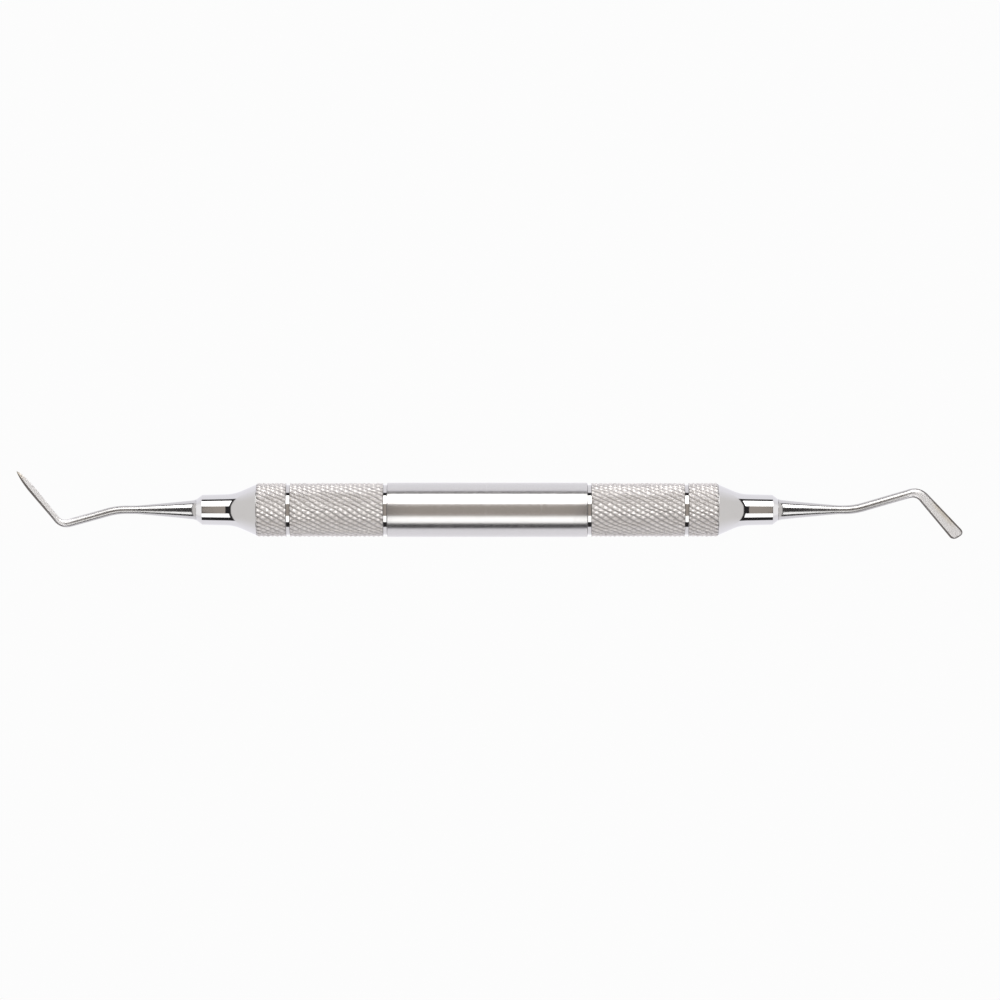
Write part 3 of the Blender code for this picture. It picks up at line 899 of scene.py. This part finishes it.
@dataclass
class WorkingEnd:
    """One forged and ground piece: tang, tapered shank with two bends, and a blade.

    Its middle line starts at the nose's face along X and bends in the XY plane. Its sections are round on
    the shank and turn into those of the blade over the elbow. A warm reflection is painted on the blade over
    a span of its length, all round or on its outer side.
    """

    root_diameter: float
    shank_diameter: float
    first_run: float
    first_bend: float
    leg: float
    elbow_bend: float
    elbow_radius: float
    blade_length: float
    # How much of the bevels' painted shade the back bevels take.
    back_darkness: float
    end_bevel: float
    # The painted warm reflection: its span along the blade, its spread round it and its strength.
    tint_span: Span
    tint_spread: float
    tint_strength: float
    blade_rings: int
    tang_diameter: float = 0.003
    tang_length: float = 0.008
    tang_lead: float = 0.0003
    taper_length: float = 0.0106
    taper_power: float = 1.1
    fillet_length: float = 0.0008
    fillet_height: float = 0.00012
    first_bend_radius: float = 0.012
    flattening_lead: float = 0.0008
    grinding_lead: float = 0.0007
    grinding_rise: Span = (0.1, 2.2)
    inner_side: float = 0.5
    outer_side: float = 0.2
    tint_fade: float = 0.25
    edge_thickness: float = 0.00012
    largest_bevel_share: float = 0.45
    side_steps: int = 4
    face_points: int = 4
    fillet_rings: int = 9
    taper_rings: int = 28
    bend_rings: int = 17
    elbow_rings: int = 49
    closest_rings: float = 0.000012

    def __post_init__(self) -> None:
        """Works out the stretches of the middle line, each with its length and its turn."""
        first_trim = self.first_bend_radius * math.tan(self.first_bend / 2)
        elbow_trim = self.elbow_radius * math.tan(self.elbow_bend / 2)
        self.stretches = [
            (self.first_run - first_trim, 0.0),
            (self.first_bend_radius * self.first_bend, self.first_bend),
            (self.leg - first_trim - elbow_trim, 0.0),
            (self.elbow_radius * self.elbow_bend, -self.elbow_bend),
            (self.blade_length - elbow_trim, 0.0),
        ]
        self.ends = np.cumsum([0.0] + [length for length, _ in self.stretches])
        self.reach = float(self.ends[-1])
        self.blade_start = float(self.ends[4])
        self.round_end = float(self.ends[3]) - self.flattening_lead

    def middle_line(self, distance: np.ndarray) -> tuple[np.ndarray, np.ndarray, np.ndarray]:
        """Places and headings on the middle line.

        A straight stretch adds its length times the cosine and the sine of the heading. A bend adds its
        radius times the change in the heading's sine, and less the change in its cosine.

        Args:
            distance: Distances along the line.

        Returns:
            X, Y and heading at each.
        """
        x, y, heading = np.zeros((3, *distance.shape))
        for start, (length, turn) in zip(self.ends, self.stretches):
            step = np.clip(distance - start, 0, length)
            turned = turn * step / length
            if turn:
                radius = length / turn
                x = x + radius * (np.sin(heading + turned) - np.sin(heading))
                y = y - radius * (np.cos(heading + turned) - np.cos(heading))
            else:
                x = x + step * np.cos(heading)
                y = y + step * np.sin(heading)
            heading = heading + turned
        return x, y, heading

    def bar_section(
        self, width: np.ndarray, thickness: np.ndarray, bevels: tuple[Any, Any], edges: tuple[Any, Any]
    ) -> np.ndarray:
        """Corners of flat sections with bevelled sides, the elbow's outer side first.

        Args:
            width: Their widths.
            thickness: Their thicknesses.
            bevels: The widths of the outer and the inner bevel.
            edges: The thicknesses left at the outer and the inner edge.

        Returns:
            Points by station, corner and direction: across and through.
        """
        room = self.largest_bevel_share * width
        outer = width / 2 - np.minimum(bevels[0], room)
        inner = -width / 2 + np.minimum(bevels[1], room)
        share = np.linspace(0, 1, self.face_points + 2)[None, :]
        face = outer[:, None] * (1 - share) + inner[:, None] * share
        flat = thickness[:, None] / 2 + 0 * share
        across = np.column_stack([width / 2, face, -width / 2])
        sides = [np.minimum(edge, thickness) / 2 for edge in edges]
        top = stacked(across, np.column_stack([sides[0], flat, sides[1]]))
        return np.concatenate([top, top[:, ::-1] * (1, -1)], axis=1)

    def blade_section(self, along: np.ndarray, left: np.ndarray) -> np.ndarray:
        """Sections of the blade, for the distance along it and the distance left to its end."""
        raise NotImplementedError

    def slant(self, left: np.ndarray) -> np.ndarray:
        """How far the sections' outer sides lean ahead, as a share of the distance across."""
        return np.zeros_like(left)

    def blade_stations(self) -> np.ndarray:
        """Distances along the middle line at which the blade has a section."""
        raise NotImplementedError

    def stations(self) -> np.ndarray:
        """Distances of all the sections: along the taper, in both bends and on the blade.

        Returns:
            The distances along the middle line, in order.
        """
        distances = np.concatenate([
            np.linspace(0, self.fillet_length, self.fillet_rings),
            np.linspace(self.fillet_length, self.taper_length, self.taper_rings),
            np.linspace(self.ends[1], self.ends[2], self.bend_rings),
            np.linspace(self.round_end, self.blade_start + self.shank_diameter / 2, self.elbow_rings),
            self.blade_stations(),
        ])
        distances = np.sort(distances[distances < self.reach])
        kept = np.concatenate([[True], np.diff(distances) > self.closest_rings])
        return np.concatenate([distances[kept], [self.reach]])

    def skin(self) -> Skin:
        """The working end as a grid of rings along its middle line.

        A ring's point is the middle line's point, plus the section's across along the line's normal, plus
        its through along Z. On the elbow the section is a weighted mean of the circle and of the blade's.

        Returns:
            The skin, along X from the nose's face, with its marks.
        """
        station = self.stations()
        left = self.reach - station
        flat_start = self.blade_start + self.shank_diameter / 2
        flatness = eased((station - self.round_end) / (flat_start - self.round_end))

        corners = self.blade_section(np.maximum(0.0, station - self.blade_start), left)
        count = corners.shape[1]
        share = np.linspace(0, 1, self.side_steps, endpoint=False)[None, None, :, None]
        following = np.roll(corners, -1, axis=1)
        blade = corners[:, :, None, :] * (1 - share) + following[:, :, None, :] * share
        blade = blade.reshape(len(station), -1, 2)
        place = np.arange(count * self.side_steps) / self.side_steps
        turn = (place + 0.5) * FULL_TURN / count
        circle = stacked(np.cos(turn), np.sin(turn))

        taper = np.maximum(0.0, 1 - station / self.taper_length) ** self.taper_power
        shank = between(self.shank_diameter, self.root_diameter, taper) / 2
        shank += self.fillet_height * np.maximum(0.0, 1 - station / self.fillet_length) ** 2
        weight = flatness[:, None, None]
        section = (1 - weight) * shank[:, None, None] * circle[None] + weight * blade
        across, through = section[..., 0], section[..., 1]

        x, y, heading = (part[:, None] for part in self.middle_line(station))
        ahead = self.slant(left)[:, None] * across
        rings = stacked(
            x + ahead * np.cos(heading) - across * np.sin(heading) + SEAT_GAP,
            y + ahead * np.sin(heading) + across * np.cos(heading),
            through,
        )
        tang_x = np.array([-self.tang_length, -self.tang_length + self.tang_lead, SEAT_GAP])[:, None]
        tang_radius = self.tang_diameter / 2 - np.array([self.tang_lead, 0, 0])[:, None]
        tang = stacked(tang_x, tang_radius * circle[:, 0], tang_radius * circle[:, 1])
        skin = capped_skin(np.concatenate([tang, rings]), tang[0].mean(axis=0), rings[-1].mean(axis=0))
        skin.marks = self.marks(station, place, flatness, across, len(tang))
        return skin

    def marks(
        self,
        station: np.ndarray,
        place: np.ndarray,
        flatness: np.ndarray,
        across: np.ndarray,
        tang_rings: int,
    ) -> dict[str, np.ndarray]:
        """The marks of the grid's points and of its two poles.

        The ground faces begin where the sections turn flat, and a little earlier on the elbow's inner side.

        Args:
            station: The sections' distances along the middle line.
            place: Each column's place among the section's corners.
            flatness: How far each section is the blade's, from 0 to 1.
            across: The points' distances to the side of the middle line.
            tang_rings: The number of rings of the tang.

        Returns:
            For each mark's name, its numbers.
        """
        count = len(place) // self.side_steps
        last = count // 2 - 1
        folded = np.minimum(np.mod(place, count), np.mod(count - 1 - place, count))
        # Painted shade: the outer bevels and the end bevel take all of the dark bevel colour, the back
        # bevels a share.
        edge = np.where(folded <= 1, 1.0, np.where(folded >= last - 1, self.back_darkness, 0.0))
        edge = np.where((self.reach - station < self.end_bevel)[:, None], 1.0, edge[None])
        outward = np.cos(FULL_TURN * (place + 0.5) / count)[None, :]
        early = eased((station - self.round_end + self.grinding_lead) / (2 * self.grinding_lead))[:, None]
        delay, gain = self.grinding_rise
        inner = early * eased(self.inner_side - outward)
        ground = np.maximum(eased(flatness * gain - delay)[:, None], inner)

        # Painted warm reflection over a span of the blade, all round or mostly on its outer side.
        share = (station - self.blade_start) / (self.reach - self.blade_start)
        start, end = self.tint_span
        warm_share = eased((share - start) / self.tint_fade) * eased((end - share) / self.tint_fade)
        spread = np.maximum(eased(outward + self.outer_side), self.tint_spread)
        marks = {
            "edge": ground * edge,
            "face": ground,
            "tint": self.tint_strength * warm_share[:, None] * spread,
            "along": 1000 * station[:, None],
            "across": 1000 * across,
        }
        before = np.zeros(tang_rings * len(place))
        for name, numbers in marks.items():
            grid = np.broadcast_to(numbers, across.shape)
            marks[name] = np.concatenate([before, grid.ravel(), [0.0, grid[-1].mean()]])
        return marks


@dataclass
class PointedEnd(WorkingEnd):
    """The end whose narrow leaf-shaped blade runs out in a point and is ground along one side."""

    root_diameter: float = 0.00345
    shank_diameter: float = 0.00144
    first_run: float = 0.01395
    first_bend: float = math.radians(15.5)
    leg: float = 0.01003
    elbow_bend: float = math.radians(65.6)
    elbow_radius: float = 0.0021
    blade_length: float = 0.0123
    back_darkness: float = 0.3
    end_bevel: float = 0.0
    tint_span: Span = (0.75, 2.0)
    tint_spread: float = 1.0
    tint_strength: float = 1.0
    blade_rings: int = 70
    blade_width: float = 0.0012
    root_width: float = 0.00106
    widest_share: float = 0.62
    tip_width: float = 0.0001
    leaf_power: float = 0.75
    thinning_power: float = 0.5
    root_thickness: float = 0.00095
    tip_thickness: float = 0.0003
    edge_bevel: float = 0.00038
    back_bevel: float = 0.0001

    def blade_stations(self) -> np.ndarray:
        """Closer together towards the point: the sine of even angles."""
        quarter = np.linspace(0, math.pi / 2, self.blade_rings)
        return self.blade_start + (self.reach - self.blade_start) * np.sin(quarter)

    def blade_section(self, along: np.ndarray, left: np.ndarray) -> np.ndarray:
        """Leaf-shaped sections.

        The width grows by an eased step up to the widest place. Past it, it is the blade's width times a
        power of 1 less the square of the share that is passed. The thickness falls evenly to the tip's.

        Args:
            along: The distance along the blade.
            left: The distance left to its end.

        Returns:
            Points by station, corner and direction: across and through.
        """
        share = along / (along + left)
        grown = between(self.root_width, self.blade_width, eased(share / self.widest_share))
        past = np.maximum(0.0, (share - self.widest_share) / (1 - self.widest_share))
        narrowed = self.blade_width * np.maximum(0.0, 1 - past**2) ** self.leaf_power
        width = np.maximum(np.where(share < self.widest_share, grown, narrowed), self.tip_width)
        thickness = between(self.root_thickness, self.tip_thickness, share)
        thickness = thickness * np.minimum(1.0, width / self.root_width) ** self.thinning_power
        thickness = np.maximum(thickness, self.edge_thickness)
        back = np.maximum(thickness - self.back_bevel, self.edge_thickness)
        bevels = (self.edge_bevel * width / self.blade_width, self.back_bevel)
        return self.bar_section(width, thickness, bevels, (self.edge_thickness, back))


@dataclass
class RoundedEnd(WorkingEnd):
    """The end whose flat blade widens to a round, slightly slanted end and is ground all round."""

    root_diameter: float = 0.00356
    shank_diameter: float = 0.00152
    first_run: float = 0.01325
    first_bend: float = math.radians(16.2)
    leg: float = 0.0117
    elbow_bend: float = math.radians(64.4)
    elbow_radius: float = 0.0024
    blade_length: float = 0.01075
    back_darkness: float = 1.0
    end_bevel: float = 0.00024
    tint_span: Span = (0.08, 0.88)
    tint_spread: float = 0.0
    tint_strength: float = 0.7
    blade_rings: int = 40
    corner_rings: int = 26
    root_width: float = 0.00184
    end_width: float = 0.00246
    corner_radius: float = 0.0009
    end_slant: float = math.radians(9)
    slant_reach: float = 0.0049
    root_thickness: float = 0.0009
    end_thickness: float = 0.00045
    edge_bevel: float = 0.00024

    def blade_stations(self) -> np.ndarray:
        """Even ones along the blade, then the sines of even angles round its corners.

        Returns:
            Distances along the middle line.
        """
        corner_start = self.reach - self.corner_radius
        return np.concatenate([
            np.linspace(self.blade_start, corner_start, self.blade_rings),
            corner_start + self.corner_radius * np.sin(np.linspace(0, math.pi / 2, self.corner_rings)),
            [self.reach - self.edge_bevel],
        ])

    def slant(self, left: np.ndarray) -> np.ndarray:
        """The tangent of the end's slant, eased in over the last stretch of the blade."""
        return math.tan(self.end_slant) * eased(1 - left / self.slant_reach)

    def blade_section(self, along: np.ndarray, left: np.ndarray) -> np.ndarray:
        """Spatula sections.

        Width and thickness change evenly from root to end. In the corners the width loses twice the corner's
        radius less its circle's height, and in the end bevel the thickness falls to the edge's.

        Args:
            along: The distance along the blade.
            left: The distance left to its end.

        Returns:
            Points by station, corner and direction: across and through.
        """
        share = along / (along + left)
        reach = np.maximum(0.0, self.corner_radius - left)
        width = between(self.root_width, self.end_width, share)
        width = width - 2 * (self.corner_radius - np.sqrt(self.corner_radius**2 - reach**2))
        thickness = between(self.root_thickness, self.end_thickness, share)
        thickness = between(self.edge_thickness, thickness, np.minimum(1.0, left / self.edge_bevel))
        return self.bar_section(width, thickness, (self.edge_bevel,) * 2, (self.edge_thickness,) * 2)


# The whole carver


@dataclass
class Carver:
    """The carver's five pieces and how it lies."""

    rest_clearance: float = 0.0002
    tube: Tube = field(default_factory=Tube)
    nose: Nose = field(default_factory=Nose)
    pointed: PointedEnd = field(default_factory=PointedEnd)
    rounded: RoundedEnd = field(default_factory=RoundedEnd)
    knurled_finish: KnurledFinish = KnurledFinish("knurled_satin_steel", (0.60, 0.59, 0.58), 0.24)
    nose_finish: TurnedFinish = TurnedFinish("polished_turned_steel", (0.67, 0.665, 0.66), 0.055)
    tip_finish: GroundFinish = GroundFinish("polished_and_ground_steel", (0.57, 0.563, 0.556), 0.165)

    def resting_roll(self) -> float:
        """The roll of both working ends at which the pointed blade is just clear of the floor.

        A point is as low as the drop when it has turned by the arc sine of the drop over its distance from
        the handle's axis, plus its own angle above the plane of the bends. The first one counts.

        Returns:
            The roll, in radians.
        """
        drop = self.tube.radius - self.rest_clearance
        _, y, z = self.pointed.skin().points.T
        reach = np.hypot(y, z)
        far = reach > drop
        turns = np.arcsin(drop / reach[far]) + np.arctan2(z[far], -y[far])
        return float(turns.min())

    def place(self, skin: Skin, end: End, reach: float, roll: float) -> Skin:
        """Puts a skin that points along X on an end of the handle.

        Args:
            skin: The skin, made along X from the origin.
            end: The end that it goes on. The rounded end is turned half round Z.
            reach: How far from the handle's middle its origin comes.
            roll: Its turn about the handle's axis, after that.

        Returns:
            The skin in its place.
        """
        half_turn = np.array([end.value, end.value, 1.0])
        x, y, z = (skin.points * half_turn + (end.value * reach, 0, 0)).T
        rolled_y = y * math.cos(roll) - z * math.sin(roll)
        rolled_z = y * math.sin(roll) + z * math.cos(roll)
        return Skin(stacked(x, rolled_y, rolled_z + self.tube.radius), skin.triangles, skin.marks)

    def build(self, roll: float) -> None:
        """Makes the pieces and puts them in the scene.

        Args:
            roll: The roll of both working ends, in radians.
        """
        log.info("the working ends are rolled by %.2f degrees", math.degrees(roll))
        tube_end = self.tube.length / 2
        nose_end = tube_end + self.nose.length
        self.tube.skin().piece("handle_tube", self.knurled_finish, Slot.KNURLED, "knurled_handle")
        for end in End:
            label = end.name.lower()
            nose = self.place(self.nose.skin(self.tube), end, tube_end, 0.0)
            nose.piece(f"{label}_nose_turned", self.nose_finish, Slot.NOSE, f"{label}_end_nose")
        for end, shape in ((End.POINTED, self.pointed), (End.ROUNDED, self.rounded)):
            label = end.name.lower()
            tip = self.place(shape.skin(), end, nose_end, roll)
            tip.piece(f"{label}_blade_and_shank", self.tip_finish, Slot.TIP, f"{label}_blade_tip")


# Studio and camera


@dataclass
class Studio:
    """A plain pale floor in a white tent, with a dark gap and two long soft lights on the camera's side.

    Directions are told by two angles in degrees: around, from the camera's side about the handle's axis, and
    lift, out of the plane square to that axis. Each span of angles is a soft edge between two lights. A grey
    card hangs between the two long lights, close to the carver.
    """

    roll: float
    floor_size: float = 3.0
    floor_gap: float = 0.00005
    pale: Colour = (0.975, 0.975, 0.975)
    gap_light: Colour = (0.028, 0.026, 0.028)
    card_light: Colour = (0.43, 0.385, 0.345)
    card_distance: float = 0.3
    card_width: float = 0.312
    card_length: float = 0.164
    upper_light: Colour = (3.8, 3.8, 3.8)
    lower_light: Colour = (1.9, 1.9, 1.9)
    under_light: Colour = (1.08, 1.07, 1.13)
    wall_light: Colour = (0.86, 0.84, 0.835)
    far_light: Colour = (1.2, 1.19, 1.21)
    lower_edge: Span = (-0.02, 0.02)
    inner_edge: Span = (27.0, 29.0)
    outer_edge: Span = (67.5, 70.0)
    lower_narrower: float = 10.5
    end_edge: Span = (14.5, 16.5)
    end_slant: float = 0.1
    lower_straighter: float = 0.04
    under_edge: Span = (84.5, 88.0)
    wall_edge: Span = (20.0, 23.0)
    wall_fade: Span = (50.0, 135.0)
    far_edge: Span = (56.0, 68.0)

    @property
    def facing(self) -> Vector:
        """The direction from the carver to the camera, square to the plane of the bends."""
        return Vector((0, -math.sin(self.roll), math.cos(self.roll)))

    def build(self) -> None:
        """Makes the world, the floor and the grey card."""
        world = bpy.data.worlds.new("tent")
        tree = NodeTree(world)
        tent = tree.node("ShaderNodeBackground", None, {"Color": self.light(tree)})
        backdrop = tree.node("ShaderNodeBackground", None, {"Color": tree.colour(self.pale)})
        camera_ray = tree.node("ShaderNodeLightPath").outputs["Is Camera Ray"]
        inputs = {0: camera_ray, 1: tent.outputs[0], 2: backdrop.outputs[0]}
        mixed = tree.node("ShaderNodeMixShader", None, inputs)
        tree.node("ShaderNodeOutputWorld", None, {"Surface": mixed.outputs[0]})
        bpy.context.scene.world = world
        self.floor()
        self.card()

    def light(self, tree: NodeTree) -> bpy.types.NodeSocket:
        """The tent's light by direction.

        Args:
            tree: The world's node tree.

        Returns:
            The light's colour.
        """
        direction = tree.node("ShaderNodeTexCoord").outputs["Generated"]
        downward = tree.dot(direction, Vector((0, math.cos(self.roll), math.sin(self.roll))))
        around = downward.absolute().angle_over(tree.dot(direction, self.facing)) * (180 / math.pi)
        lift = tree.dot(direction, Vector((1, 0, 0))).absolute().arcsine() * (180 / math.pi)

        lower = downward.step(*self.lower_edge)
        slant = self.end_slant - self.lower_straighter * lower
        slanted = lift - (around - self.inner_edge[0]).at_least(0.0) * slant
        outer = (around + lower * self.lower_narrower).step(*self.outer_edge)
        soft = around.step(*self.inner_edge) * (1 - outer) * (1 - slanted.step(*self.end_edge))
        light = tree.mixed(soft, self.gap_light, tree.mixed(lower, self.upper_light, self.lower_light))
        light = tree.mixed(around.step(*self.under_edge), light, self.under_light)
        wall_light = tree.mixed(around.step(*self.wall_fade), self.wall_light, self.under_light)
        light = tree.mixed(slanted.step(*self.wall_edge), light, wall_light)
        return tree.mixed(lift.step(*self.far_edge), light, self.far_light)

    def card(self) -> None:
        """The grey card: a dim area light, square to the camera's view, that only reflections see.

        Its power is pi times its area, so that it is as bright as its colour.
        """
        data = bpy.data.lights.new("grey_card", "AREA")
        data.shape = "RECTANGLE"
        data.size = self.card_length
        data.size_y = self.card_width
        data.color = self.card_light
        data.energy = math.pi * data.size * data.size_y
        turn = Matrix((Vector((1, 0, 0)), self.facing.cross((1, 0, 0)), self.facing)).transposed().to_4x4()
        card = add_object("grey_card", data)
        card.matrix_world = Matrix.Translation(self.facing * self.card_distance) @ turn
        card.visible_camera = False
        card.visible_diffuse = False

    def floor(self) -> None:
        """A square that only the camera sees, just under the carver."""
        half = self.floor_size / 2
        corners = [(-half, -half), (half, -half), (half, half), (-half, half)]
        mesh = bpy.data.meshes.new("floor")
        mesh.from_pydata([(x, y, -self.floor_gap) for x, y in corners], [], [(0, 1, 2, 3)])
        material = bpy.data.materials.new("pale_floor")
        tree = NodeTree(material)
        glow = tree.node("ShaderNodeEmission", None, {"Color": tree.colour(self.pale)})
        tree.node("ShaderNodeOutputMaterial", None, {"Surface": glow.outputs[0]})
        mesh.materials.append(material)
        floor = add_object("floor", mesh)
        floor.visible_diffuse = False
        floor.visible_glossy = False
        floor.visible_shadow = False


@dataclass
class Camera:
    """A long lens square to the plane of the bends, turned so that the pointed blade is on the left."""

    roll: float
    axis_height: float
    picture_pixels: float = 1000.0
    pixels_per_metre: float = 5702.0
    left_pixel: float = 16.5
    axis_pixel: float = 509.8
    lens: float = 200.0
    sensor: float = 36.0

    def build(self) -> None:
        """Makes the camera the scene's own."""
        right = Vector((-1, 0, 0))
        up = Vector((0, -math.cos(self.roll), -math.sin(self.roll)))
        back = right.cross(up)
        middle = self.picture_pixels / 2
        target = Vector((CAD_BOX[1].x, 0, self.axis_height))
        target += right * (middle - self.left_pixel) / self.pixels_per_metre
        target += up * (self.axis_pixel - middle) / self.pixels_per_metre
        distance = self.picture_pixels / self.pixels_per_metre * self.lens / self.sensor
        turn = Matrix((right, up, back)).transposed().to_4x4()
        data = bpy.data.cameras.new("camera")
        data.lens = self.lens
        data.sensor_width = self.sensor
        camera = add_object("camera", data)
        camera.matrix_world = Matrix.Translation(target + back * distance) @ turn
        bpy.context.scene.camera = camera


def main() -> None:
    """Builds the carver, its studio and its camera."""
    logging.basicConfig(level=logging.INFO, format="%(message)s")
    bpy.context.scene.view_settings.view_transform = "Standard"
    carver = Carver()
    roll = carver.resting_roll()
    carver.build(roll)
    Studio(roll).build()
    Camera(roll, carver.tube.radius).build()


if __name__ == "__main__":
    main()
